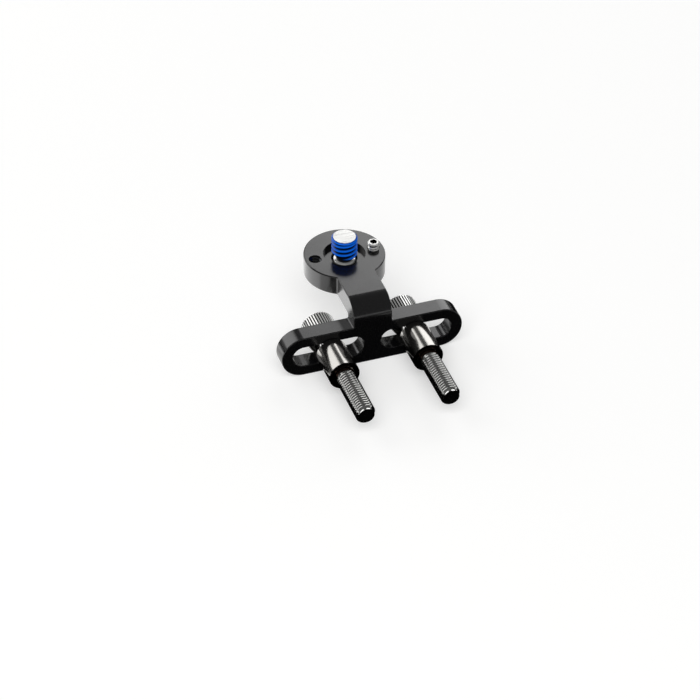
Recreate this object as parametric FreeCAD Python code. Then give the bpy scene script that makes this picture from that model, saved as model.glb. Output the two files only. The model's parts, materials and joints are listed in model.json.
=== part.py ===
"""Camera mount that bolts to the front of a handlebar stem.

A one-piece aluminium bracket carries a camera on a round platform. Its slotted bar is held
off the stem by two tubular spacers and fixed by the two stem bolts that pass through them.

Frame: the origin is midway between the two bolts, in the plane where the spacers meet the stem.
+X runs along the slotted bar, +Y points forward to the platform, +Z is up. Millimetres.
"""
import FreeCAD
import Part
import math
import os

# Thread form: 60 degree flanks, crests and depth as shares of the pitch
thread_flank_angle = math.radians(30)
thread_crest_share = 0.125
thread_depth_share = 0.6134
thread_overlap_share = 0.05

# Stem bolts: M5 socket-head screws with a waisted shank and a straight-knurled head
bolt_thread_diameter = 5.0
bolt_thread_pitch = 0.8
bolt_thread_run_out = 1.0
bolt_length = 30.0
bolt_spacing = 21.2
bolt_waist_diameter = 4.4
bolt_tip_chamfer = 0.4
bolt_head_diameter = 8.5
bolt_head_height = 5.8
knurl_teeth = 50
knurl_depth = 0.25
knurl_crest_share = 0.25
knurl_root_share = 0.25
knurl_collar_height = 0.8
knurl_collar_step = 0.1
bolt_socket_width = 4.0
bolt_socket_depth = 2.5

# Spacers: turned sleeves between the bar and the stem
spacer_length = 10.0
spacer_diameter = 7.6
spacer_bore_clearance = 0.3
spacer_chamfer = 0.3

# Slotted bar of the bracket
slot_clearance = 0.5
slot_length = 18.15
slot_web = 4.2
slot_wall = 2.75
bar_thickness = 4.6

# Neck and platform of the bracket
neck_width = 9.7
neck_foot_radius = 0.4
bend_outer_radius = 4.8
bend_inner_radius = 0.5
platform_rise = 6.3
platform_thickness = 5.1
platform_diameter = 20.0
platform_reach = 21.2
notch_radius = 0.7
edge_break = 0.25

# Recess and holes of the platform
recess_diameter = 10.4
recess_depth = 1.3
camera_hole_clearance = 0.15
locating_hole_diameter = 3.0
locating_hole_spacing = 15.0
locating_hole_chamfer = 0.1

# Camera screw: quarter-inch thread as a plain rod, a thin relief, a plain neck, the head under the platform
camera_thread_diameter = 6.35
camera_thread_rise = 5.1
camera_thread_start = 0.2
camera_run_out = 0.5
camera_tip_chamfer = 0.4
camera_relief_diameter = 4.0
camera_neck_diameter = 5.4
camera_neck_height = 3.7
camera_head_diameter = 10.0
camera_head_height = 3.2
camera_head_chamfer = 0.4
camera_socket_width = 4.0
camera_socket_depth = 2.0

# Anti-twist screw: M3 grub screw in the right-hand locating hole
grub_length = 6.0
grub_rise = 1.75
grub_clearance = 0.05
grub_chamfer = 0.25
grub_socket_width = 1.5
grub_socket_depth = 2.0

# Sizes and places that follow from the values above
slot_width = bolt_thread_diameter + slot_clearance
bar_height = slot_width + 2 * slot_wall
bar_length = slot_web + 2 * slot_length + 2 * slot_wall
bar_near_y = spacer_length
bar_far_y = bar_near_y + bar_thickness
bar_top_z = bar_height / 2
platform_top_z = bar_top_z + platform_rise
platform_under_z = platform_top_z - platform_thickness
platform_radius = platform_diameter / 2
platform_y = bar_near_y + platform_reach
recess_floor_z = platform_top_z - recess_depth
camera_hole_diameter = camera_thread_diameter + camera_hole_clearance
spacer_bore_diameter = bolt_thread_diameter + spacer_bore_clearance

x_axis = FreeCAD.Vector(1, 0, 0)
y_axis = FreeCAD.Vector(0, 1, 0)
z_axis = FreeCAD.Vector(0, 0, 1)
position_tolerance = 1e-4
parallel_tolerance = 1e-6


def obround(length, height, centre_x, near_y, depth):
    """An upright plate with full-round ends, standing along X and reaching from near_y along +Y."""
    radius = height / 2
    half_flat = length / 2 - radius
    left = FreeCAD.Vector(centre_x - half_flat, near_y, 0)
    right = FreeCAD.Vector(centre_x + half_flat, near_y, 0)
    up = z_axis * radius
    outline = Part.Wire([
        Part.LineSegment(left + up, right + up).toShape(),
        Part.Arc(right + up, right + x_axis * radius, right - up).toShape(),
        Part.LineSegment(right - up, left - up).toShape(),
        Part.Arc(left - up, left - x_axis * radius, left + up).toShape(),
    ])
    return Part.Face(outline).extrude(y_axis * depth)


def revolved(profile, base, axis):
    """A turned solid: profile holds (radius, height) points along the axis that starts at base."""
    across = x_axis if abs(axis.dot(x_axis)) < 0.5 else z_axis
    points = [base + across * radius + axis * height for radius, height in profile]
    outline = Part.makePolygon(points + [points[0]])
    return Part.Face(outline).revolve(base, axis, 360)


def hex_prism(across_flats, depth, base, axis):
    """A six-sided prism that reaches depth from base along the axis, for the key's socket."""
    across = x_axis if abs(axis.dot(x_axis)) < 0.5 else z_axis
    other = axis.cross(across)
    radius = across_flats / math.sqrt(3)
    corners = []
    for side in range(6):
        angle = math.radians(60 * side)
        corners.append(base + across * (radius * math.cos(angle)) + other * (radius * math.sin(angle)))
    outline = Part.makePolygon(corners + [corners[0]])
    return Part.Face(outline).extrude(axis * depth)


def thread_groove(diameter, pitch, start, stop, base, axis):
    """The groove that a right-hand thread is cut with, winding up the axis from start to stop."""
    radius = diameter / 2
    depth = thread_depth_share * pitch
    overlap = thread_overlap_share * pitch
    half_gap = (pitch - thread_crest_share * pitch) / 2
    half_root = half_gap - depth * math.tan(thread_flank_angle)
    half_mouth = half_gap + overlap * math.tan(thread_flank_angle)
    corners = [
        FreeCAD.Vector(radius - depth, 0, -half_root),
        FreeCAD.Vector(radius + overlap, 0, -half_mouth),
        FreeCAD.Vector(radius + overlap, 0, half_mouth),
        FreeCAD.Vector(radius - depth, 0, half_root),
    ]
    sweep = Part.BRepOffsetAPI.MakePipeShell(Part.makeLongHelix(pitch, stop - start, radius))
    sweep.setFrenetMode(True)
    sweep.add(Part.makePolygon(corners + [corners[0]]))
    sweep.build()
    sweep.makeSolid()
    groove = sweep.shape()
    groove.Placement = FreeCAD.Placement(base + axis * start, FreeCAD.Rotation(z_axis, axis))
    return groove


def knurled_prism(diameter, height, base, axis):
    """A straight-knurled drum that reaches height from base along the axis."""
    across = x_axis if abs(axis.dot(x_axis)) < 0.5 else z_axis
    other = axis.cross(across)
    crest = diameter / 2
    root = crest - knurl_depth
    half_crest = knurl_crest_share / 2
    half_foot = (1 - knurl_root_share) / 2
    tooth_outline = [(-half_foot, root), (-half_crest, crest), (half_crest, crest), (half_foot, root)]
    corners = []
    for tooth in range(knurl_teeth):
        for offset, radius in tooth_outline:
            angle = 2 * math.pi * (tooth + offset) / knurl_teeth
            corners.append(base + across * (radius * math.cos(angle)) + other * (radius * math.sin(angle)))
    outline = Part.makePolygon(corners + [corners[0]])
    return Part.Face(outline).extrude(axis * height)


def neck_and_platform():
    """The strip that rises from the bar, bends forward and ends in the platform's disc."""
    root_z = bar_top_z - slot_wall / 2
    bend_bulge = math.sqrt(0.5)

    def at(y, z):
        return FreeCAD.Vector(-neck_width / 2, y, z)

    outer_y = bar_near_y + bend_outer_radius
    outer_z = platform_top_z - bend_outer_radius
    outer_mid = at(outer_y - bend_outer_radius * bend_bulge, outer_z + bend_outer_radius * bend_bulge)
    inner_y = bar_far_y + bend_inner_radius
    inner_z = platform_under_z - bend_inner_radius
    inner_mid = at(inner_y - bend_inner_radius * bend_bulge, inner_z + bend_inner_radius * bend_bulge)
    outline = Part.Wire([
        Part.LineSegment(at(bar_near_y, root_z), at(bar_near_y, outer_z)).toShape(),
        Part.Arc(at(bar_near_y, outer_z), outer_mid, at(outer_y, platform_top_z)).toShape(),
        Part.LineSegment(at(outer_y, platform_top_z), at(platform_y, platform_top_z)).toShape(),
        Part.LineSegment(at(platform_y, platform_top_z), at(platform_y, platform_under_z)).toShape(),
        Part.LineSegment(at(platform_y, platform_under_z), at(inner_y, platform_under_z)).toShape(),
        Part.Arc(at(inner_y, platform_under_z), inner_mid, at(bar_far_y, inner_z)).toShape(),
        Part.LineSegment(at(bar_far_y, inner_z), at(bar_far_y, root_z)).toShape(),
        Part.LineSegment(at(bar_far_y, root_z), at(bar_near_y, root_z)).toShape(),
    ])
    strip = Part.Face(outline).extrude(x_axis * neck_width)
    disc_base = FreeCAD.Vector(0, platform_y, platform_under_z)
    disc = Part.makeCylinder(platform_radius, platform_thickness, disc_base, z_axis)
    return strip.fuse(disc)


def straight_edges_through(shape, direction, points):
    """The straight edges along a direction that pass through any of the given points."""
    chosen = []
    for edge in shape.Edges:
        if not isinstance(edge.Curve, Part.Line):
            continue
        if edge.Curve.Direction.cross(direction).Length > parallel_tolerance:
            continue
        for point in points:
            offset = point - edge.Vertexes[0].Point
            if (offset - direction * offset.dot(direction)).Length < position_tolerance:
                chosen.append(edge)
    return chosen


def is_sheet_face(face):
    """True for the faces that the strip's two broad sides are made of, bends included."""
    surface = face.Surface
    if isinstance(surface, Part.Cylinder):
        return surface.Axis.cross(x_axis).Length < parallel_tolerance
    if not isinstance(surface, Part.Plane):
        return False
    normal = surface.Axis
    return normal.cross(y_axis).Length < parallel_tolerance or is_platform_side(face)


def is_platform_side(face):
    """True for the platform's top and underside."""
    if face.Surface.Axis.cross(z_axis).Length > parallel_tolerance:
        return False
    height = face.CenterOfMass.z
    return min(abs(height - platform_top_z), abs(height - platform_under_z)) < position_tolerance


def outline_edges(shape):
    """The edges where a broad side of the bracket meets its rim or the wall of a slot."""
    chosen = []
    for edge in shape.Edges:
        sides = [is_sheet_face(face) for face in shape.ancestorsOfType(edge, Part.Face)]
        if len(sides) == 2 and sides[0] != sides[1]:
            chosen.append(edge)
    return chosen


def countersunk_hole(diameter, chamfer, centre, top_z, bottom_z):
    """The tool that drills a round hole down Z and breaks its two edges."""
    radius = diameter / 2
    depth = top_z - bottom_z
    profile = [
        (0, -chamfer), (radius + 2 * chamfer, -chamfer), (radius, chamfer),
        (radius, depth - chamfer), (radius + 2 * chamfer, depth + chamfer), (0, depth + chamfer),
    ]
    return revolved(profile, FreeCAD.Vector(centre.x, centre.y, bottom_z), z_axis)


def make_bracket():
    """Slotted bar, neck and platform, machined from one piece."""
    bar = obround(bar_length, bar_height, 0, bar_near_y, bar_thickness)
    body = bar.fuse(neck_and_platform()).removeSplitter()

    half_neck = neck_width / 2
    foot_points = [FreeCAD.Vector(side * half_neck, bar_near_y, bar_top_z) for side in (-1, 1)]
    body = body.makeFillet(neck_foot_radius, straight_edges_through(body, y_axis, foot_points))
    notch_y = platform_y - math.sqrt(platform_radius ** 2 - half_neck ** 2)
    notch_points = [FreeCAD.Vector(side * half_neck, notch_y, platform_top_z) for side in (-1, 1)]
    body = body.makeFillet(notch_radius, straight_edges_through(body, z_axis, notch_points))

    slot_x = (slot_web + slot_length) / 2
    for side in (-1, 1):
        body = body.cut(obround(slot_length, slot_width, side * slot_x, bar_near_y, bar_thickness))
    body = body.makeFillet(edge_break, outline_edges(body))

    recess_base = FreeCAD.Vector(0, platform_y, recess_floor_z)
    body = body.cut(Part.makeCylinder(recess_diameter / 2, recess_depth, recess_base, z_axis))
    camera_hole_base = FreeCAD.Vector(0, platform_y, platform_under_z)
    body = body.cut(Part.makeCylinder(camera_hole_diameter / 2, platform_thickness, camera_hole_base, z_axis))
    for side in (-1, 1):
        centre = FreeCAD.Vector(side * locating_hole_spacing / 2, platform_y, 0)
        body = body.cut(countersunk_hole(
            locating_hole_diameter, locating_hole_chamfer, centre, platform_top_z, platform_under_z))
    return body


def make_camera_screw():
    """Camera screw, raised so that its head bears on the platform's underside."""
    neck = camera_neck_diameter / 2
    relief = camera_relief_diameter / 2
    thread = camera_thread_diameter / 2
    head = camera_head_diameter / 2
    thread_start = platform_thickness + camera_thread_start
    tip = platform_thickness + camera_thread_rise
    profile = [
        (0, -camera_head_height),
        (head - camera_head_chamfer, -camera_head_height),
        (head, camera_head_chamfer - camera_head_height),
        (head, 0),
        (neck, 0),
        (neck, camera_neck_height),
        (relief, camera_neck_height),
        (relief, thread_start - camera_run_out),
        (thread, thread_start),
        (thread, tip - camera_tip_chamfer),
        (thread - camera_tip_chamfer, tip),
        (0, tip),
    ]
    base = FreeCAD.Vector(0, platform_y, platform_under_z)
    socket_base = base - z_axis * camera_head_height
    socket = hex_prism(camera_socket_width, camera_socket_depth, socket_base, z_axis)
    return revolved(profile, base, z_axis).cut(socket)


def make_anti_twist_screw():
    """Grub screw that stands out of the platform and keeps the camera from turning."""
    radius = locating_hole_diameter / 2 - grub_clearance
    profile = [
        (0, 0),
        (radius - grub_chamfer, 0),
        (radius, grub_chamfer),
        (radius, grub_length - grub_chamfer),
        (radius - grub_chamfer, grub_length),
        (0, grub_length),
    ]
    base = FreeCAD.Vector(locating_hole_spacing / 2, platform_y, platform_top_z + grub_rise - grub_length)
    socket_base = base + z_axis * (grub_length - grub_socket_depth)
    socket = hex_prism(grub_socket_width, grub_socket_depth, socket_base, z_axis)
    return revolved(profile, base, z_axis).cut(socket)


def make_spacer(centre_x):
    """Sleeve on a stem bolt, with its bore and both rims chamfered."""
    outer = spacer_diameter / 2
    bore = spacer_bore_diameter / 2
    profile = [
        (bore + spacer_chamfer, 0),
        (outer - spacer_chamfer, 0),
        (outer, spacer_chamfer),
        (outer, spacer_length - spacer_chamfer),
        (outer - spacer_chamfer, spacer_length),
        (bore + spacer_chamfer, spacer_length),
        (bore, spacer_length - spacer_chamfer),
        (bore, spacer_chamfer),
    ]
    return revolved(profile, FreeCAD.Vector(centre_x, 0, 0), y_axis)


def make_stem_bolt(centre_x):
    """Socket-head screw through the bar and its spacer: a waisted shank, then the thread for the stem."""
    thread = bolt_thread_diameter / 2
    waist = bolt_waist_diameter / 2
    collar = bolt_head_diameter / 2 - knurl_collar_step
    tip = bar_far_y - bolt_length
    knurl_start = bar_far_y + knurl_collar_height
    head_top = bar_far_y + bolt_head_height
    profile = [
        (0, tip),
        (thread - bolt_tip_chamfer, tip),
        (thread, tip + bolt_tip_chamfer),
        (thread, 0),
        (waist, thread - waist),
        (waist, bar_far_y),
        (collar, bar_far_y),
        (collar, knurl_start),
        (0, knurl_start),
    ]
    base = FreeCAD.Vector(centre_x, 0, 0)
    knurl_base = base + y_axis * knurl_start
    knurl = knurled_prism(bolt_head_diameter, head_top - knurl_start, knurl_base, y_axis)
    socket_base = base + y_axis * (head_top - bolt_socket_depth)
    socket = hex_prism(bolt_socket_width, bolt_socket_depth, socket_base, y_axis)
    groove = thread_groove(
        bolt_thread_diameter, bolt_thread_pitch, tip - bolt_thread_pitch, -bolt_thread_run_out, base, y_axis)
    return revolved(profile, base, y_axis).cut(groove).fuse(knurl).cut(socket)


def main():
    os.makedirs("parts", exist_ok=True)
    pieces = {
        "bracket": make_bracket(),
        "camera_screw": make_camera_screw(),
        "anti_twist_screw": make_anti_twist_screw(),
    }
    for side_name, side in (("left", -1), ("right", 1)):
        centre_x = side * bolt_spacing / 2
        pieces[side_name + "_spacer"] = make_spacer(centre_x)
        pieces[side_name + "_stem_bolt"] = make_stem_bolt(centre_x)
    for name, shape in pieces.items():
        shape.exportStep("parts/" + name + ".step")
        print(name, "valid", shape.isValid(), "solids", len(shape.Solids), "volume", round(shape.Volume, 2))


main()
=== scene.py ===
# %% [markdown]
# # A handlebar camera mount
#
# The mount is a black aluminium bracket with a slotted bar. Two long bolts pass through the slots,
# two turned sleeves hold the bar off what it is bolted to, and a camera sits on the round
# platform, on a blue-coated screw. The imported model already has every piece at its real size. This
# lesson gives the pieces their finishes, grows clean threads and knurls for the screws, and lights
# the result.

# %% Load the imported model
import bmesh
import bpy
import json
import math
from mathutils import Matrix, Vector


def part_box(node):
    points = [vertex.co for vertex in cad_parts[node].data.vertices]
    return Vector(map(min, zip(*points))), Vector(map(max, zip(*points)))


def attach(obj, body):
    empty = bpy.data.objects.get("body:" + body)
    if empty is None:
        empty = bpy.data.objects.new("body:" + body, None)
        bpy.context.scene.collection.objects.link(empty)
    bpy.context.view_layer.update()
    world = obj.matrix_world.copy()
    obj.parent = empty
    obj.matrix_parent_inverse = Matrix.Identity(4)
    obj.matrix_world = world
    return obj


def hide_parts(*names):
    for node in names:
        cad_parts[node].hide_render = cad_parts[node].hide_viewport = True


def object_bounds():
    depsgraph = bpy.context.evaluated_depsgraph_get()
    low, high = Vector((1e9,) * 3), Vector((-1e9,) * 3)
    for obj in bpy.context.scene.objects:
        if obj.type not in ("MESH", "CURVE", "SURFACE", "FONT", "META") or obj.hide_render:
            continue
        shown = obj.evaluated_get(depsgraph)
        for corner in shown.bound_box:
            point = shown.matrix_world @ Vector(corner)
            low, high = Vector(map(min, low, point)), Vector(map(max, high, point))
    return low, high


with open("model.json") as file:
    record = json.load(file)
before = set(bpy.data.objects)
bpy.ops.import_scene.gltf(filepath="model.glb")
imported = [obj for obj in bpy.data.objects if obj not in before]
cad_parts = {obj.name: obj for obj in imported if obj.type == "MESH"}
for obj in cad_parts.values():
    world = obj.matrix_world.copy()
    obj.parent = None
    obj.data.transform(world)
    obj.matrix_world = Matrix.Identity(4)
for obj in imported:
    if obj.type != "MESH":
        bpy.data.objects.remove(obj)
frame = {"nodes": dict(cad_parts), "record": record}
cad_box = [list(corner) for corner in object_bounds()]
mounts = {mount["name"]: mount for mount in frame["record"]["mounts"]}
mm = 0.001
print("nodes:", sorted(frame["nodes"]))

# %% [markdown]
# ## The camera
#
# The camera comes first, because every later choice is compared through it. Its place, its turn
# and its focal length were solved from the object's own edges in the photograph. A long focal
# length from about three quarters of a metre keeps the bar's edges almost parallel, as a product
# picture does.

# %% Camera at the photograph's viewing angle
camera_azimuth = math.radians(-19.67)
camera_elevation = math.radians(38.67)
camera_roll = math.radians(0.64)
camera_place = Vector((-198.20, -528.14, 456.55)) * mm
photo_width_pixels = 700
focal_length_pixels = 3045.8

flat = math.cos(camera_elevation)
back = Vector((
    math.sin(camera_azimuth) * flat,
    -math.cos(camera_azimuth) * flat,
    math.sin(camera_elevation),
))
level_right = Vector((math.cos(camera_azimuth), math.sin(camera_azimuth), 0))
level_up = back.cross(level_right)
right = level_right * math.cos(camera_roll) + level_up * math.sin(camera_roll)
up = level_up * math.cos(camera_roll) - level_right * math.sin(camera_roll)

camera_data = bpy.data.cameras.new("camera")
camera_data.lens = camera_data.sensor_width * focal_length_pixels / photo_width_pixels
camera = bpy.data.objects.new("camera", camera_data)
camera_turn = Matrix((right, up, back)).transposed().to_4x4()
camera.matrix_world = Matrix.Translation(camera_place) @ camera_turn
bpy.context.scene.collection.objects.link(camera)
bpy.context.scene.camera = camera
bpy.context.scene.view_settings.view_transform = "Standard"
print("camera lens", round(camera_data.lens, 1), "mm")

# %% [markdown]
# ## Four small helpers for finishes
#
# Colours are written as the hex values that a colour picker shows. Blender mixes light in linear
# values, so one function converts them. A second adds a node with its settings and its links, and
# a third starts a material. Patterns are given in millimetres, as a maker would measure them, so a
# fourth turns such a size into a texture's scale.

# %% Colour and node helpers
def linear(hex_colour):
    """An sRGB hex colour as linear red, green, blue and alpha."""
    channels = []
    for start in (1, 3, 5):
        value = int(hex_colour[start:start + 2], 16) / 255
        channels.append(value / 12.92 if value <= 0.04045 else ((value + 0.055) / 1.055) ** 2.4)
    return (*channels, 1.0)


def add_node(tree, kind, inputs=None, **settings):
    """Adds a node, sets it up, and gives each input, by name or number, a value or a link."""
    node = tree.nodes.new(kind)
    for name, value in settings.items():
        setattr(node, name, value)
    for key, value in (inputs or {}).items():
        named = [each for each in node.inputs if each.enabled and each.name == key]
        socket = named[0] if named else node.inputs[key]
        if isinstance(value, bpy.types.NodeSocket):
            tree.links.new(value, socket)
        else:
            socket.default_value = value
    return node


def start_material(name, values):
    """A material with its Principled sockets set. Returns it with its tree and its shader."""
    material = bpy.data.materials.new(name)
    material.use_nodes = True
    shader = material.node_tree.nodes["Principled BSDF"]
    for socket, value in values.items():
        shader.inputs[socket].default_value = value
    return material, material.node_tree, shader


def per_size(size):
    """The texture scale at which a pattern repeats once in this size."""
    return 1 / size


print("mid grey is", round(linear("#808080")[0], 3), "in linear light")

# %% [markdown]
# ## Black anodised aluminium
#
# The bracket is machined from bar stock, blasted with fine beads and anodised black. That gives
# the eye a very dark, soft mirror: flat faces take one even tone from whatever they face, and
# rounded ones a soft stripe. A dyed oxide layer is not a metal to the eye, so the shader stays a
# dielectric, with the oxide's index of about 1.75. The bead marks are about 0.05 mm across, too
# fine for the picture, so they are drawn at 0.25 mm.

# %% Material of the bracket
oxide_index = 1.75
anodised_roughness = (0.16, 0.22)
tone_patch_size = 7.0 * mm
bead_mark_size = 0.25 * mm
bead_mark_depth = 0.02 * mm
bead_mark_strength = 0.05


def make_black_anodised():
    """Dyed oxide with large soft patches in its gloss and fine bead marks."""
    material, tree, shader = start_material("black_anodised_aluminium", {
        "Base Color": linear("#0b0b0c"), "IOR": oxide_index,
    })
    coordinates = add_node(tree, "ShaderNodeTexCoord").outputs["Object"]
    patches = add_node(tree, "ShaderNodeTexNoise", {
        "Vector": coordinates, "Scale": per_size(tone_patch_size), "Detail": 2.0,
    })
    roughness = add_node(tree, "ShaderNodeMapRange", {
        "Value": patches.outputs["Fac"],
        "To Min": anodised_roughness[0], "To Max": anodised_roughness[1],
    })
    beads = add_node(tree, "ShaderNodeTexNoise", {
        "Vector": coordinates, "Scale": per_size(bead_mark_size), "Detail": 1.0,
    })
    bump = add_node(tree, "ShaderNodeBump", {
        "Height": beads.outputs["Fac"], "Strength": bead_mark_strength, "Distance": bead_mark_depth,
    })
    tree.links.new(roughness.outputs["Result"], shader.inputs["Roughness"])
    tree.links.new(bump.outputs["Normal"], shader.inputs["Normal"])
    return material


black_anodised = make_black_anodised()
print("made", black_anodised.name)

# %% [markdown]
# ## Steel and bare metal
#
# All the metal without a colour is one shader with different tool marks. The sleeves are polished,
# so they mirror the bar and the light in long stripes. The bolts are bright plated. Zinc plate
# that has been handled gets a milky bloom, so on the grub screw, the camera screw's head and
# shoulder and the knurls the shader is part metal and part white. The end of the camera screw was
# faced and brushed, which leaves fine parallel scratches that catch the light. A near-black steel
# is painted shade in the keys' sockets and between the teeth. The spare hole was tapped after the
# anodising, so its thread is bare, and painted shade darkens it. Marks finer than a picture point
# are drawn wider.

# %% Materials of the metal pieces
# Noise seldom leaves this range, so the roughness is spread over it.
usual_noise = (0.3, 0.7)
tool_mark_depth = 0.02 * mm
tool_mark_strength = 0.06
plate_roughness = (0.10, 0.18)
plate_mark_spacing = 0.5 * mm


def make_metal(
        name, colour, roughness_range, mark_spacing, mark_stretch=1.0, mark_turn=0.0, metallic=1.0):
    """Metal with tool marks that are mark_stretch times as long as wide, along X turned about Z."""
    material, tree, shader = start_material(name, {
        "Base Color": linear(colour), "Metallic": metallic,
    })
    coordinates = add_node(tree, "ShaderNodeTexCoord").outputs["Object"]
    along = add_node(tree, "ShaderNodeMapping", {
        "Vector": coordinates, "Rotation": (0, 0, mark_turn), "Scale": (1 / mark_stretch, 1, 1),
    })
    marks = add_node(tree, "ShaderNodeTexNoise", {
        "Vector": along.outputs["Vector"], "Scale": per_size(mark_spacing), "Detail": 2.0,
    })
    roughness = add_node(tree, "ShaderNodeMapRange", {
        "Value": marks.outputs["Fac"], "From Min": usual_noise[0], "From Max": usual_noise[1],
        "To Min": roughness_range[0], "To Max": roughness_range[1],
    })
    bump = add_node(tree, "ShaderNodeBump", {
        "Height": marks.outputs["Fac"], "Strength": tool_mark_strength, "Distance": tool_mark_depth,
    })
    tree.links.new(roughness.outputs["Result"], shader.inputs["Roughness"])
    tree.links.new(bump.outputs["Normal"], shader.inputs["Normal"])
    return material


sleeve_steel = make_metal(
    "polished_sleeve_steel", "#b4b2ae", roughness_range=(0.14, 0.17), mark_spacing=0.4 * mm,
    mark_stretch=12)
plated_steel = make_metal("bright_plated_steel", "#d4d4d2", plate_roughness, plate_mark_spacing)
milky_zinc = make_metal(
    "milky_zinc_plate", "#dcdcda", plate_roughness, plate_mark_spacing, metallic=0.55)
# The knurls' zinc, with painted shade between the teeth.
knurled_zinc = make_metal(
    "knurled_zinc_with_painted_shade", "#f2f2f0", plate_roughness, plate_mark_spacing, metallic=0.45)
brushed_steel = make_metal(
    "faced_and_brushed_steel", "#d2d2d0", roughness_range=(0.18, 0.30), mark_spacing=0.3 * mm,
    mark_stretch=25, mark_turn=math.radians(35))
# Near-black steel: painted shade for the keys' sockets and the cores between teeth and thread
# ridges.
painted_shade_steel = make_metal(
    "steel_in_painted_shade", "#0e0d0c", roughness_range=(0.30, 0.45), mark_spacing=0.5 * mm)
# Bare aluminium made dark: painted shade for the inside of the spare hole.
bare_aluminium_in_painted_shade = make_metal(
    "bare_tapped_aluminium_in_painted_shade", "#56575a", roughness_range=(0.20, 0.32), mark_spacing=0.5 * mm)
print("made", sleeve_steel.name, plated_steel.name, milky_zinc.name, "and", brushed_steel.name)

# %% [markdown]
# ## Painted reflections on the parted ends and painted shade in the grooves
#
# Each sleeve was parted off its bar at the near end. That face carries painted reflections: almost
# black at the rim and brown near the bore. On the bolts' heads the crests of the knurl keep the
# metal's own bright colour, and painted shade blackens what lies deeper. Both paints follow the
# distance from the bolt's axis, which the sleeve shares, so a mask on that distance picks them and
# no second piece is needed.

# %% Paint reflections on the parted ends and shade in the grooves
sleeve_low, sleeve_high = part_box("right_spacer")
bolt_axis_x = (sleeve_low.x + sleeve_high.x) / 2
sleeve_radius = (sleeve_high.x - sleeve_low.x) / 2
painted_end_depth = 0.32 * mm
painted_end_fade = 0.05 * mm
# The painted brown reflection starts at this share of the sleeve's radius, and this share of the
# rest fades to painted black.
brown_reflection_start_share = 0.7
black_reflection_share = 0.55
knurl_low, knurl_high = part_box("right_stem_bolt")
knurl_radius = (knurl_high.x - knurl_low.x) / 2
# Above the first depth under the knurl's crests the metal keeps its colour; below the second it is
# painted shade.
full_colour_depth = 0.03 * mm
painted_shade_depth = 0.09 * mm


def place_about_bolt(tree):
    """The distance from the nearer bolt's axis, and the depth along it."""
    coordinates = add_node(tree, "ShaderNodeTexCoord").outputs["Object"]
    place = add_node(tree, "ShaderNodeSeparateXYZ", {"Vector": coordinates}).outputs
    side = add_node(tree, "ShaderNodeMath", {0: place["X"]}, operation="ABSOLUTE")
    across = add_node(tree, "ShaderNodeMath", {
        0: side.outputs[0], 1: bolt_axis_x,
    }, operation="SUBTRACT")
    arm = add_node(tree, "ShaderNodeCombineXYZ", {"X": across.outputs[0], "Z": place["Z"]})
    distance = add_node(tree, "ShaderNodeVectorMath", {
        0: arm.outputs["Vector"],
    }, operation="LENGTH")
    return distance.outputs["Value"], place["Y"]


def blend_colours(material, share, painted_colour):
    """Goes from a painted colour, where the share is nought, to the metal's own."""
    tree = material.node_tree
    shader = tree.nodes["Principled BSDF"]
    metal_colour = tuple(shader.inputs["Base Color"].default_value)
    colour = add_node(tree, "ShaderNodeMix", {
        "Factor": share, "A": painted_colour, "B": metal_colour,
    }, data_type="RGBA")
    tree.links.new(colour.outputs[2], shader.inputs["Base Color"])


def paint_end_reflections(material):
    """Painted reflections in rings, from brown near the bore to black at the rim, on the near end.
    """
    tree = material.node_tree
    distance, depth = place_about_bolt(tree)
    towards_rim = add_node(tree, "ShaderNodeMapRange", {
        "Value": distance,
        "From Min": brown_reflection_start_share * sleeve_radius, "From Max": sleeve_radius,
    })
    rings = add_node(tree, "ShaderNodeValToRGB", {"Fac": towards_rim.outputs["Result"]})
    # Painted reflections: brown near the bore, black at the rim.
    rings.color_ramp.elements[0].color = linear("#6a5348")
    rings.color_ramp.elements[1].position = black_reflection_share
    rings.color_ramp.elements[1].color = linear("#0c0908")
    polished = add_node(tree, "ShaderNodeMapRange", {
        "Value": depth, "From Min": painted_end_depth, "From Max": painted_end_depth + painted_end_fade,
    })
    blend_colours(material, polished.outputs["Result"], rings.outputs["Color"])


def paint_shade_in_grooves(material):
    """Painted shade, black between the teeth, and the metal's own colour on their crests."""
    tree = material.node_tree
    distance = place_about_bolt(tree)[0]
    unshaded = add_node(tree, "ShaderNodeMapRange", {
        "Value": distance,
        "From Min": knurl_radius - painted_shade_depth, "From Max": knurl_radius - full_colour_depth,
    })
    # Painted shade: black deep between the teeth.
    blend_colours(material, unshaded.outputs["Result"], linear("#060606"))


paint_end_reflections(sleeve_steel)
paint_shade_in_grooves(knurled_zinc)
print("bolt axis at", round(bolt_axis_x / mm, 2), "mm")
print("knurl radius", round(knurl_radius / mm, 2), "mm")

# %% [markdown]
# ## Blue coat on the camera screw
#
# The thread that enters the camera carries a blue coat. It is a lacquer over steel, glossy and
# saturated on the crests, and painted shade makes it almost black in the grooves and the relief.
# The distance from the screw's axis tells crest from groove, so one ramp on that distance gives both
# colours.

# %% Material of the blue thread
screw_axis = Vector(mounts["camera_thread"]["pos_m"])
screw_crest_radius = mounts["camera_thread"]["dims"]["r_mm"] * mm
screw_thread_depth = 0.78 * mm
screw_root_radius = screw_crest_radius - screw_thread_depth
# Shares of the way from groove to crest up to which the painted shade is darkest, and from which the
# coat is its own blue.
painted_shade_share = 0.4
full_blue_share = 0.9
lacquer_roughness = (0.25, 0.4)
lacquer_speckle_size = 0.5 * mm


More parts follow.
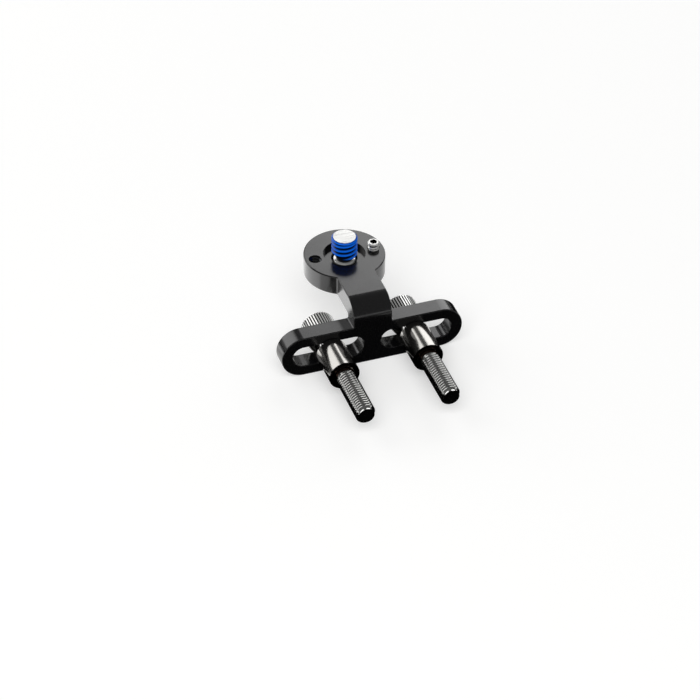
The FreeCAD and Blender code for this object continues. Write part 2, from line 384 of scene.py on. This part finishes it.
def make_blue_coat():
    """Blue lacquer on the crests, with painted shade almost black in the grooves."""
    material, tree, shader = start_material("blue_thread_coat", {
        "IOR": 1.5, "Specular IOR Level": 0.3,
    })
    coordinates = add_node(tree, "ShaderNodeTexCoord").outputs["Object"]
    centred = add_node(tree, "ShaderNodeMapping", {
        "Vector": coordinates, "Location": (-screw_axis.x, -screw_axis.y, 0), "Scale": (1, 1, 0),
    })
    distance = add_node(tree, "ShaderNodeVectorMath", {
        0: centred.outputs["Vector"],
    }, operation="LENGTH")
    share = add_node(tree, "ShaderNodeMapRange", {
        "Value": distance.outputs["Value"],
        "From Min": screw_root_radius, "From Max": screw_crest_radius,
    })
    colour = add_node(tree, "ShaderNodeValToRGB", {"Fac": share.outputs["Result"]})
    colour.color_ramp.elements[0].position = painted_shade_share
    # Painted shade: near-black navy in the grooves and the relief.
    colour.color_ramp.elements[0].color = linear("#050a16")
    colour.color_ramp.elements[1].position = full_blue_share
    colour.color_ramp.elements[1].color = linear("#0066e4")
    speckle = add_node(tree, "ShaderNodeTexNoise", {
        "Vector": coordinates, "Scale": per_size(lacquer_speckle_size), "Detail": 2.0,
    })
    roughness = add_node(tree, "ShaderNodeMapRange", {
        "Value": speckle.outputs["Fac"],
        "To Min": lacquer_roughness[0], "To Max": lacquer_roughness[1],
    })
    tree.links.new(colour.outputs["Color"], shader.inputs["Base Color"])
    tree.links.new(roughness.outputs["Result"], shader.inputs["Roughness"])
    return material


blue_coat = make_blue_coat()
print("made", blue_coat.name, "for a crest radius of", round(screw_crest_radius / mm, 3), "mm")

# %% [markdown]
# ## The bracket and the sleeves keep their solids
#
# These shapes are right as they were packed, and their normals came from the exact surfaces. They
# only need a finish, so the material slots change and the meshes do not.

# %% Finish the pieces that stay
def finish_node(node, material):
    """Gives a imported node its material."""
    piece = frame["nodes"][node]
    piece.data.materials.clear()
    piece.data.materials.append(material)
    print("finished", node, "with", material.name)


finish_node("bracket", black_anodised)
finish_node("left_spacer", sleeve_steel)
finish_node("right_spacer", sleeve_steel)

# %% [markdown]
# ## Turned cores
#
# Every screw starts as a bar in a lathe, so its core is a set of rings about one axis. A ring is
# either round or six-sided, which lets the same rows run down into the key's socket. Each band of
# rows takes one material, and the bands are welded where they meet, so the piece stays one closed
# skin.

# %% Rings, bands and joined pieces
segments_around = 96
key_sides = 6


def ring_radius(row, angle):
    """A row's radius at an angle. A row is (radius, height) or (across flats, height, sides)."""
    if len(row) == 2:
        return row[0]
    sector = 2 * math.pi / row[2]
    return row[0] / 2 / math.cos(angle % sector - sector / 2)


def turned_band(rows, material):
    """An open or closed band of rings about Z, listed from the bottom up along the outside."""
    mesh = bpy.data.meshes.new("band")
    band = bmesh.new()
    rings = []
    for row in rows:
        if row[0] == 0:
            rings.append([band.verts.new((0, 0, row[1]))] * segments_around)
            continue
        ring = []
        for step in range(segments_around):
            angle = 2 * math.pi * step / segments_around
            radius = ring_radius(row, angle)
            corner = (radius * math.cos(angle), radius * math.sin(angle), row[1])
            ring.append(band.verts.new(corner))
        rings.append(ring)
    for lower, upper in zip(rings, rings[1:]):
        for step in range(segments_around):
            after = (step + 1) % segments_around
            corners = [lower[step], lower[after], upper[after], upper[step]]
            band.faces.new(list(dict.fromkeys(corners)))
    band.to_mesh(mesh)
    band.free()
    mesh.materials.append(material)
    return mesh


def join_meshes(name, meshes, place):
    """One mesh from several, welded, smooth on curves, sharp on edges and moved to its place."""
    weld_distance = 0.0005 * mm
    sharp_angle = math.radians(32)
    mesh = bpy.data.meshes.new(name)
    joined = bmesh.new()
    for part in meshes:
        first_new = len(joined.faces)
        joined.from_mesh(part)
        joined.faces.ensure_lookup_table()
        material = next(each for each in part.materials if each)
        if material.name not in mesh.materials:
            mesh.materials.append(material)
        for face in joined.faces[first_new:]:
            face.material_index = mesh.materials.find(material.name)
    bmesh.ops.remove_doubles(joined, verts=joined.verts, dist=weld_distance)
    joined.to_mesh(mesh)
    joined.free()
    mesh.transform(place)
    mesh.shade_smooth()
    mesh.set_sharp_from_angle(angle=sharp_angle)
    return mesh


def stand_in(mesh, node):
    """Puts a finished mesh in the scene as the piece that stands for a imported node."""
    piece = bpy.data.objects.new(mesh.name, mesh)
    bpy.context.scene.collection.objects.link(piece)
    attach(piece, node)
    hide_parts(node)
    print(piece.name, "stands for", node, "with", len(mesh.polygons), "faces")


print("rings have", segments_around, "points")

# %% [markdown]
# ## A thread grown with Geometry Nodes
#
# A thread is one ridge that follows a helix. It could be a displaced cylinder, but then the crests
# would cut across the mesh in steps. Here a spiral curve carries a four-sided section, so every
# edge of the mesh runs along the thread. The section shrinks to nothing at both ends, as a real
# thread runs out. The same tree makes an inside thread when the narrow side of the section faces
# inwards.

# %% The helical ridge tree
def start_tree(name, sizes, counts):
    """A geometry tree with inputs for its sizes, counts and material. Returns it and its inputs."""
    tree = bpy.data.node_groups.new(name, "GeometryNodeTree")
    tree.interface.new_socket("Mesh", in_out="OUTPUT", socket_type="NodeSocketGeometry")
    for size in sizes:
        tree.interface.new_socket(size, in_out="INPUT", socket_type="NodeSocketFloat")
    for count in counts:
        tree.interface.new_socket(count, in_out="INPUT", socket_type="NodeSocketInt")
    tree.interface.new_socket("Material", in_out="INPUT", socket_type="NodeSocketMaterial")
    return tree, add_node(tree, "NodeGroupInput").outputs


def end_tree(tree, geometry, material):
    """Makes the tree's instances real, gives them their material and sends them out."""
    real = add_node(tree, "GeometryNodeRealizeInstances", {"Geometry": geometry})
    finished = add_node(tree, "GeometryNodeSetMaterial", {
        "Geometry": real.outputs["Geometry"], "Material": material,
    })
    add_node(tree, "NodeGroupOutput", {"Mesh": finished.outputs["Geometry"]})


def make_helical_ridge_tree():
    """A four-sided section that follows a helix and shrinks to nothing at both ends."""
    sizes = ["Anchor Radius", "Inner Width", "Outer Width", "Section Height", "Section Shift",
             "Turns", "Start Height", "Start Angle", "Length", "Run Out Share"]
    tree, size = start_tree("helical_ridge", sizes, ["Steps Per Turn"])
    helix = add_node(tree, "GeometryNodeCurveSpiral", {
        "Resolution": size["Steps Per Turn"], "Rotations": size["Turns"], "Height": size["Length"],
        "Start Radius": size["Anchor Radius"], "End Radius": size["Anchor Radius"],
        "Reverse": True,
    })
    lift = add_node(tree, "ShaderNodeCombineXYZ", {"Z": size["Start Height"]})
    turn = add_node(tree, "ShaderNodeCombineXYZ", {"Z": size["Start Angle"]})
    raised = add_node(tree, "GeometryNodeTransform", {
        "Geometry": helix.outputs["Curve"], "Translation": lift.outputs["Vector"],
        "Rotation": turn.outputs["Vector"],
    })
    upright = add_node(tree, "GeometryNodeSetCurveNormal", {
        "Curve": raised.outputs["Geometry"],
    }, mode="Z_UP")

    from_start = add_node(tree, "GeometryNodeSplineParameter").outputs["Factor"]
    to_end = add_node(tree, "ShaderNodeMath", {0: 1.0, 1: from_start}, operation="SUBTRACT")
    nearest = add_node(tree, "ShaderNodeMath", {
        0: from_start, 1: to_end.outputs[0],
    }, operation="MINIMUM")
    fullness = add_node(tree, "ShaderNodeMapRange", {
        "Value": nearest.outputs[0], "From Max": size["Run Out Share"],
    })
    section = add_node(tree, "GeometryNodeCurvePrimitiveQuadrilateral", {
        "Bottom Width": size["Inner Width"], "Top Width": size["Outer Width"],
        "Height": size["Section Height"], "Offset": 0.0,
    }, mode="TRAPEZOID")
    shift = add_node(tree, "ShaderNodeCombineXYZ", {"X": size["Section Shift"]})
    outward = add_node(tree, "GeometryNodeTransform", {
        "Geometry": section.outputs["Curve"], "Translation": shift.outputs["Vector"],
        "Rotation": (0, 0, math.radians(-90)),
    })
    ridge = add_node(tree, "GeometryNodeCurveToMesh", {
        "Curve": upright.outputs["Curve"], "Profile Curve": outward.outputs["Geometry"],
        "Scale": fullness.outputs["Result"], "Fill Caps": True,
    })
    end_tree(tree, ridge.outputs["Mesh"], size["Material"])
    return tree


def grow(tree, values):
    """Runs a tree with these inputs and returns the plain mesh that it makes."""
    holder = bpy.data.objects.new("holder", bpy.data.meshes.new("holder"))
    bpy.context.scene.collection.objects.link(holder)
    modifier = holder.modifiers.new("grow", "NODES")
    modifier.node_group = tree
    for item in tree.interface.items_tree:
        if item.in_out == "INPUT":
            modifier[item.identifier] = values[item.name]
    evaluated = holder.evaluated_get(bpy.context.evaluated_depsgraph_get())
    mesh = bpy.data.meshes.new_from_object(evaluated)
    bpy.data.objects.remove(holder)
    return mesh


helical_ridge_tree = make_helical_ridge_tree()
print("tree", helical_ridge_tree.name, "has", len(helical_ridge_tree.nodes), "nodes")

# %% [markdown]
# ## Outside and inside threads
#
# A bolt's ridge has its broad foot on the core and its narrow crest outside. A tapped hole is the
# other way round. In both, the foot sinks a little into the metal, so that no gap shows along the
# groove. The last part of a turn at each end is where the thread runs out.

# %% Threads for bolts and for tapped holes
crest_share = 0.16
foot_share = 0.94
foot_sink = 0.03 * mm
steps_per_turn = 72
run_out_turns = 0.25


def grow_thread(foot_radius, crest_radius, pitch, start, stop, start_angle, material):
    """The ridge of a thread from start to stop, an outside one if its crest is outside its foot."""
    is_outside = crest_radius > foot_radius
    anchor = foot_radius - foot_sink if is_outside else foot_radius + foot_sink
    crest_width = crest_share * pitch
    foot_width = foot_share * pitch
    turns = (stop - start) / pitch
    return grow(helical_ridge_tree, {
        "Anchor Radius": anchor, "Section Height": abs(crest_radius - anchor),
        "Section Shift": (crest_radius - anchor) / 2,
        "Inner Width": foot_width if is_outside else crest_width,
        "Outer Width": crest_width if is_outside else foot_width,
        "Turns": turns, "Start Height": start, "Start Angle": start_angle, "Length": stop - start,
        "Run Out Share": run_out_turns / turns, "Steps Per Turn": steps_per_turn,
        "Material": material,
    })


print("a thread's crest is", crest_share, "of its pitch wide, and its foot", foot_share)

# %% [markdown]
# ## The camera screw
#
# From the tip down it has a brushed end, a blue chamfer, about three and a half turns of
# quarter-inch thread at 20 turns to the inch, a thin relief where the thread runs out, a bright
# shoulder that shows in the hole, and a head with a key's socket that bears on the platform's
# underside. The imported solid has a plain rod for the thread, so this piece stands for it. The
# thread starts at the angle at which its crests cross the front of the screw as they do in the
# photograph.

# %% Build the camera screw
inch = 25.4 * mm
screw_turns_per_inch = 20
screw_pitch = inch / screw_turns_per_inch
screw_low, screw_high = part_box("camera_screw")
screw_tip = screw_high.z
screw_head_radius = (screw_high.x - screw_low.x) / 2
screw_head_base = screw_low.z
screw_head_height = 3.2 * mm
screw_seat = screw_head_base + screw_head_height
screw_shoulder_height = 3.7 * mm
screw_shoulder = screw_seat + screw_shoulder_height
screw_shoulder_chamfer = 0.1 * mm
screw_thread_low = screw_axis.z - mounts["camera_thread"]["dims"]["length_mm"] / 2 * mm
screw_head_chamfer = 0.4 * mm
screw_socket_width = 4.0 * mm
screw_socket_depth = 2.0 * mm
screw_socket_floor = screw_head_base + screw_socket_depth
screw_neck_radius = 2.7 * mm
screw_relief_radius = 2.0 * mm
screw_tip_chamfer = 0.4 * mm
screw_lip = 0.1 * mm
screw_relief_end = screw_thread_low - 0.5 * mm
screw_core_start = screw_thread_low - 0.4 * mm
screw_thread_start = screw_thread_low - 0.31 * mm
screw_thread_stop = screw_tip - 0.58 * mm
screw_thread_turn = math.radians(-160)

# The socket is painted shade.
screw_socket = turned_band([
    (0, screw_socket_floor),
    (screw_socket_width, screw_socket_floor, key_sides),
    (screw_socket_width, screw_head_base, key_sides),
], painted_shade_steel)
screw_body = turned_band([
    (screw_socket_width, screw_head_base, key_sides),
    (screw_head_radius - screw_head_chamfer, screw_head_base),
    (screw_head_radius, screw_head_base + screw_head_chamfer),
    (screw_head_radius, screw_seat),
    (screw_neck_radius, screw_seat),
    (screw_neck_radius, screw_shoulder - screw_shoulder_chamfer),
    (screw_neck_radius - screw_shoulder_chamfer, screw_shoulder),
    (screw_relief_radius, screw_shoulder),
], milky_zinc)
screw_core = turned_band([
    (screw_relief_radius, screw_shoulder),
    (screw_relief_radius, screw_relief_end),
    (screw_root_radius, screw_core_start),
    (screw_root_radius, screw_tip - screw_tip_chamfer - screw_lip),
    (screw_crest_radius, screw_tip - screw_tip_chamfer),
    (screw_crest_radius - screw_tip_chamfer, screw_tip),
], blue_coat)
screw_end = turned_band([
    (screw_crest_radius - screw_tip_chamfer, screw_tip),
    (0, screw_tip),
], brushed_steel)
screw_thread = grow_thread(
    screw_root_radius, screw_crest_radius, screw_pitch, screw_thread_start, screw_thread_stop,
    screw_thread_turn, blue_coat)
screw_mesh = join_meshes(
    "threaded_camera_screw", [screw_socket, screw_body, screw_core, screw_end, screw_thread],
    Matrix.Translation((screw_axis.x, screw_axis.y, 0)))
stand_in(screw_mesh, "camera_screw")

# %% [markdown]
# ## A straight knurl
#
# The head of each bolt has a straight knurl, so fingers can start it. The teeth could be modelled
# one by one, but a tooth that Geometry Nodes put on every point of a circle and turn outwards is
# how an indexing head would cut them. One tooth is a four-sided bar with a narrow crest. The real
# head has fifty, which run together in the picture, so forty are drawn.

# %% The knurl tree
def make_knurl_tree():
    """A four-sided tooth on every point of a circle, turned outwards."""
    sizes = ["Middle Radius", "Foot Width", "Crest Width", "Tooth Height",
             "Start Height", "End Height"]
    tree, size = start_tree("straight_knurl", sizes, ["Teeth"])
    circle = add_node(tree, "GeometryNodeMeshCircle", {
        "Vertices": size["Teeth"], "Radius": size["Middle Radius"],
    })
    low_end = add_node(tree, "ShaderNodeCombineXYZ", {"Z": size["Start Height"]})
    high_end = add_node(tree, "ShaderNodeCombineXYZ", {"Z": size["End Height"]})
    line = add_node(tree, "GeometryNodeCurvePrimitiveLine", {
        "Start": low_end.outputs["Vector"], "End": high_end.outputs["Vector"],
    })
    section = add_node(tree, "GeometryNodeCurvePrimitiveQuadrilateral", {
        "Bottom Width": size["Foot Width"], "Top Width": size["Crest Width"],
        "Height": size["Tooth Height"], "Offset": 0.0,
    }, mode="TRAPEZOID")
    outward = add_node(tree, "GeometryNodeTransform", {
        "Geometry": section.outputs["Curve"], "Rotation": (0, 0, math.radians(-90)),
    })
    tooth = add_node(tree, "GeometryNodeCurveToMesh", {
        "Curve": line.outputs["Curve"], "Profile Curve": outward.outputs["Geometry"],
        "Fill Caps": True,
    })
    place = add_node(tree, "GeometryNodeInputPosition")
    facing = add_node(tree, "FunctionNodeAlignRotationToVector", {
        "Vector": place.outputs["Position"],
    }, axis="X", pivot_axis="Z")
    teeth = add_node(tree, "GeometryNodeInstanceOnPoints", {
        "Points": circle.outputs["Mesh"], "Instance": tooth.outputs["Mesh"],
        "Rotation": facing.outputs["Rotation"],
    })
    end_tree(tree, teeth.outputs["Instances"], size["Material"])
    return tree


knurl_tree = make_knurl_tree()
print("tree", knurl_tree.name, "has", len(knurl_tree.nodes), "nodes")

# %% [markdown]
# ## The two long bolts
#
# Each bolt is an M5 screw: a knurled head with a key's socket, a plain waist inside the sleeve,
# and a thread with a pitch of 0.8 mm. Between the bright teeth the core is painted shade, which is
# what makes a fine knurl readable from a distance. The bolt is built upright and then laid along
# +Y.

# %% Build both bolts
bolt_pitch = 0.8 * mm
bolt_crest_radius = mounts["stem_bolts"]["dims"]["stud_r_mm"] * mm
bolt_thread_depth = 0.49 * mm
bolt_root_radius = bolt_crest_radius - bolt_thread_depth
bolt_waist_radius = 2.2 * mm
bolt_plain_end = 1.0 * mm
bolt_plain_slope = 0.2 * mm
bolt_head_height = 5.8 * mm
bolt_collar_height = 0.8 * mm
bolt_collar_step = 0.1 * mm
bolt_collar_chamfer = 0.15 * mm
bolt_socket_width = 4.0 * mm
bolt_socket_chamfer = 0.1 * mm
bolt_socket_depth = 2.5 * mm
bolt_socket_point = 0.4 * mm
knurl_teeth = 40
knurl_depth = 0.25 * mm
knurl_foot_share = 0.70
knurl_crest_share = 0.46


def build_stem_bolt(node):
    """A bolt with a knurled head, a waist and a thread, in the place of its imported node."""
    low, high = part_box(node)
    tip = low.y
    head_end = high.y
    head_radius = (high.x - low.x) / 2
    collar_radius = head_radius - bolt_collar_step
    core_radius = head_radius - knurl_depth
    seat = head_end - bolt_head_height
    knurl_start = seat + bolt_collar_height
    shank = turned_band([
        (0, tip),
        (bolt_root_radius, tip),
        (bolt_root_radius, -bolt_plain_end - bolt_plain_slope),
        (bolt_crest_radius, -bolt_plain_end),
        (bolt_crest_radius, 0),
        (bolt_waist_radius, bolt_crest_radius - bolt_waist_radius),
        (bolt_waist_radius, seat),
        (collar_radius - bolt_collar_chamfer, seat),
        (collar_radius, seat + bolt_collar_chamfer),
        (collar_radius, knurl_start),
        (core_radius, knurl_start),
    ], plated_steel)
    # The core between the knurl's teeth is painted shade.
    core = turned_band([
        (core_radius, knurl_start),
        (core_radius, head_end),
    ], painted_shade_steel)
    face = turned_band([
        (core_radius, head_end),
        (bolt_socket_width + 2 * bolt_socket_chamfer, head_end, key_sides),
        (bolt_socket_width, head_end - bolt_socket_chamfer, key_sides),
    ], plated_steel)
    # The socket is painted shade.
    socket = turned_band([
        (bolt_socket_width, head_end - bolt_socket_chamfer, key_sides),
        (bolt_socket_width, head_end - bolt_socket_depth, key_sides),
        (0, head_end - bolt_socket_depth - bolt_socket_point),
    ], painted_shade_steel)
    tooth_pitch = 2 * math.pi * head_radius / knurl_teeth
    knurl = grow(knurl_tree, {
        "Middle Radius": head_radius - (knurl_depth + foot_sink) / 2,
        "Tooth Height": knurl_depth + foot_sink,
        "Foot Width": knurl_foot_share * tooth_pitch,
        "Crest Width": knurl_crest_share * tooth_pitch,
        "Start Height": knurl_start - foot_sink, "End Height": head_end,
        "Teeth": knurl_teeth, "Material": knurled_zinc,
    })
    thread = grow_thread(
        bolt_root_radius, bolt_crest_radius, bolt_pitch, tip + bolt_pitch / 2, -bolt_plain_end,
        0, plated_steel)
    axis_x = (low.x + high.x) / 2
    place = Matrix.Translation((axis_x, 0, 0)) @ Matrix.Rotation(math.radians(-90), 4, "X")
    mesh = join_meshes("knurled_" + node, [shank, core, face, socket, knurl, thread], place)
    stand_in(mesh, node)


build_stem_bolt("left_stem_bolt")
build_stem_bolt("right_stem_bolt")

# %% [markdown]
# ## The anti-twist screw
#
# An M3 grub screw stands out of the right-hand locating hole and keeps the camera from turning. It
# has a thread over its whole length and a key's socket in its top, and painted shade darkens its
# core and socket.
# The real pitch of 0.5 mm is too fine for the picture, so the thread is drawn at 0.75 mm.

# %% Build the grub screw
grub_pitch = 0.75 * mm
grub_depth = 0.27 * mm
grub_chamfer = 0.25 * mm
grub_lip = 0.2 * mm
grub_lip_slope = 0.1 * mm
grub_thread_gap = 0.2 * grub_pitch
grub_socket_width = 1.5 * mm
grub_socket_chamfer = 0.08 * mm
grub_socket_depth = 2.0 * mm
grub_socket_point = 0.3 * mm


def build_grub_screw():
    """A headless screw with a key's socket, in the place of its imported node."""
    low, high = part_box("anti_twist_screw")
    radius = (high.x - low.x) / 2
    root = radius - grub_depth
    lip_low = high.z - grub_chamfer - grub_lip
    # The core between the thread's ridges is painted shade.
    core = turned_band([
        (0, low.z),
        (root, low.z),
        (root, lip_low - grub_lip_slope),
    ], painted_shade_steel)
    top = turned_band([
        (root, lip_low - grub_lip_slope),
        (radius, lip_low),
        (radius, high.z - grub_chamfer),
        (radius - grub_chamfer, high.z),
        (grub_socket_width + 2 * grub_socket_chamfer, high.z, key_sides),
    ], milky_zinc)
    # The socket is painted shade.
    socket = turned_band([
        (grub_socket_width + 2 * grub_socket_chamfer, high.z, key_sides),
        (grub_socket_width, high.z - grub_socket_chamfer, key_sides),
        (grub_socket_width, high.z - grub_socket_depth, key_sides),
        (0, high.z - grub_socket_depth - grub_socket_point),
    ], painted_shade_steel)
    thread = grow_thread(
        root, radius, grub_pitch, low.z + grub_pitch / 2, lip_low - grub_thread_gap, 0, milky_zinc)
    place = Matrix.Translation(((low.x + high.x) / 2, (low.y + high.y) / 2, 0))
    mesh = join_meshes("threaded_anti_twist_screw", [core, top, socket, thread], place)
    stand_in(mesh, "anti_twist_screw")


build_grub_screw()

# %% [markdown]
# ## The spare hole
#
# The left-hand locating hole is empty, so its own thread shows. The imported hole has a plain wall
# at the outside diameter of that thread, and the ridge grows inwards from it, drawn at the same
# coarser pitch as the grub screw's. It belongs to the bracket and moves with it.

# %% Tap the spare hole
tap_margin = 0.3 * mm


def tap_spare_hole():
    """The thread of the empty hole, which stops short of the hole's ends."""
    mount = mounts["spare_locating_hole"]
    centre = Vector(mount["pos_m"])
    wall_radius = mount["dims"]["r_mm"] * mm
    half_length = mount["dims"]["length_mm"] / 2 * mm - tap_margin
    # The hole's thread is bare aluminium darkened with painted shade.
    ridge = grow_thread(
        wall_radius, wall_radius - grub_depth, grub_pitch, centre.z - half_length,
        centre.z + half_length, 0, bare_aluminium_in_painted_shade)
    place = Matrix.Translation((centre.x, centre.y, 0))
    mesh = join_meshes("spare_hole_thread", [ridge], place)
    piece = bpy.data.objects.new(mesh.name, mesh)
    bpy.context.scene.collection.objects.link(piece)
    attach(piece, "bracket")
    print(piece.name, "has", len(mesh.polygons), "faces")


tap_spare_hole()

# %% [markdown]
# ## The floor
#
# The floor is pale and matt, and it keeps the object's shadow. A glow, which only the camera and
# the mirror-like surfaces see, takes it to white without putting more light on the object.

# %% Floor
floor_reach = 3.0
floor_glow = 0.42


def make_pale_floor():
    """Matt and pale, with a glow that only the camera and the mirrors see."""
    material, tree, shader = start_material("pale_floor", {
        "Base Color": linear("#d4d4d3"), "Roughness": 0.9, "Specular IOR Level": 0.0,
        "Emission Color": linear("#ffffff"),
    })
    path = add_node(tree, "ShaderNodeLightPath").outputs
    mirrored = add_node(tree, "ShaderNodeMath", {
        0: path["Is Glossy Ray"], 1: path["Is Transmission Ray"],
    }, operation="MAXIMUM")
    seen = add_node(tree, "ShaderNodeMath", {
        0: path["Is Camera Ray"], 1: mirrored.outputs[0],
    }, operation="MAXIMUM")
    glow = add_node(tree, "ShaderNodeMath", {
        0: seen.outputs[0], 1: floor_glow,
    }, operation="MULTIPLY")
    tree.links.new(glow.outputs[0], shader.inputs["Emission Strength"])
    return material


def add_sheet(name, x_range, y_range, height, material):
    """A level rectangle that belongs to the studio and not to the object."""
    near, far = y_range
    left, right = x_range
    corners = [(left, near), (right, near), (right, far), (left, far)]
    mesh = bpy.data.meshes.new(name)
    mesh.from_pydata([(x, y, height) for x, y in corners], [], [(0, 1, 2, 3)])
    mesh.materials.append(material)
    sheet = bpy.data.objects.new(name, mesh)
    bpy.context.scene.collection.objects.link(sheet)
    return sheet


floor_height = cad_box[0][2]
floor_range = (-floor_reach, floor_reach)
add_sheet("floor", floor_range, floor_range, floor_height, make_pale_floor())
print("floor at", round(floor_height / mm, 2), "mm")

# %% [markdown]
# ## Cards on the floor
#
# A polished object is lit by what lies around it, so photographers lay cards beside it. A black
# one in front makes the faces towards the viewer deep black. Two more, further back on both sides,
# draw the dark line around the bar's rounded ends. A white one behind, on the left, gives the
# platform's wall its bright side. The camera doesn't see them, and they give and take no other
# light.

# %% Black cards and a white card
card_lift = 0.1 * mm
white_card_glow = 1.7
matt_black = {"Base Color": linear("#050505"), "Roughness": 0.9, "Specular IOR Level": 0.0}
black_felt = start_material("black_felt", matt_black)[0]
lit_white_board = start_material("lit_white_board", {
    **matt_black, "Emission Color": linear("#ffffff"), "Emission Strength": white_card_glow,
})[0]


def add_card(name, left, right, near, far, material):
    """A card just above the floor, its edges in millimetres, that shows only in mirrors."""
    card = add_sheet(
        name, (left * mm, right * mm), (near * mm, far * mm), floor_height + card_lift, material)
    card.visible_camera = False
    card.visible_diffuse = False
    card.visible_shadow = False
    print(name, "is", right - left, "mm wide")


add_card("front_black_card", left=-40, right=55, near=-120, far=9.8, material=black_felt)
add_card("left_black_card", left=-300, right=-45, near=34, far=300, material=black_felt)
add_card("right_black_card", left=30, right=300, near=24, far=300, material=black_felt)
add_card("white_card", left=-45, right=-7, near=26, far=60, material=lit_white_board)

# %% [markdown]
# ## Light
#
# The object is black and polished, so its look is made of what it mirrors. Two soft boxes stand
# behind it, with a gap between them: the top faces mirror the right-hand one and turn grey, the
# rounded ends mirror both with a dark stripe for the gap, and the bend looks over them and stays
# dark. Each box is given as the patch of sky that it fills, because that is what a mirror shows. A
# broad fill from the viewer's side lights the colours but isn't mirrored, so the black stays
# black, and an even grey world does the rest.

# %% Soft boxes and the grey world
softbox_distance = 0.9
fill_width = 1.5


def soft_light(name, place, width, height, radiance):
    """A rectangular light of an even radiance that faces the object."""
    data = bpy.data.lights.new(name, "AREA")
    data.shape = "RECTANGLE"
    data.size = width
    data.size_y = height
    data.energy = radiance * math.pi * width * height
    light = bpy.data.objects.new(name, data)
    light.location = place
    light.rotation_euler = Vector(place).to_track_quat("Z", "Y").to_euler()
    light.visible_camera = False
    bpy.context.scene.collection.objects.link(light)
    print(name, "gives", round(data.energy, 1), "watts")
    return light


def sky_patch_light(name, azimuth_range, elevation_range, radiance):
    """A soft light that fills a range of directions, in degrees from +Y towards +X and upwards."""
    azimuth = math.radians(sum(azimuth_range) / 2)
    elevation = math.radians(sum(elevation_range) / 2)
    half_width = math.radians(azimuth_range[1] - azimuth_range[0]) / 2
    half_height = math.radians(elevation_range[1] - elevation_range[0]) / 2
    place = softbox_distance * Vector((
        math.sin(azimuth) * math.cos(elevation),
        math.cos(azimuth) * math.cos(elevation),
        math.sin(elevation),
    ))
    width = 2 * softbox_distance * math.cos(elevation) * math.tan(half_width)
    height = 2 * softbox_distance * math.tan(half_height)
    soft_light(name, place, width, height, radiance)


sky_patch_light(
    "back_right_softbox", azimuth_range=(16, 60), elevation_range=(11, 41), radiance=2.0)
sky_patch_light(
    "back_left_softbox", azimuth_range=(-60, -9), elevation_range=(8, 44), radiance=1.65)
front_fill = soft_light(
    "front_fill", place=(-0.3, -0.75, 0.95), width=fill_width, height=fill_width, radiance=2.3)
front_fill.visible_glossy = False
world = bpy.data.worlds.new("grey_studio")
world.use_nodes = True
background = world.node_tree.nodes["Background"].inputs
background["Color"].default_value = linear("#626262")
background["Strength"].default_value = 1.0
bpy.context.scene.world = world
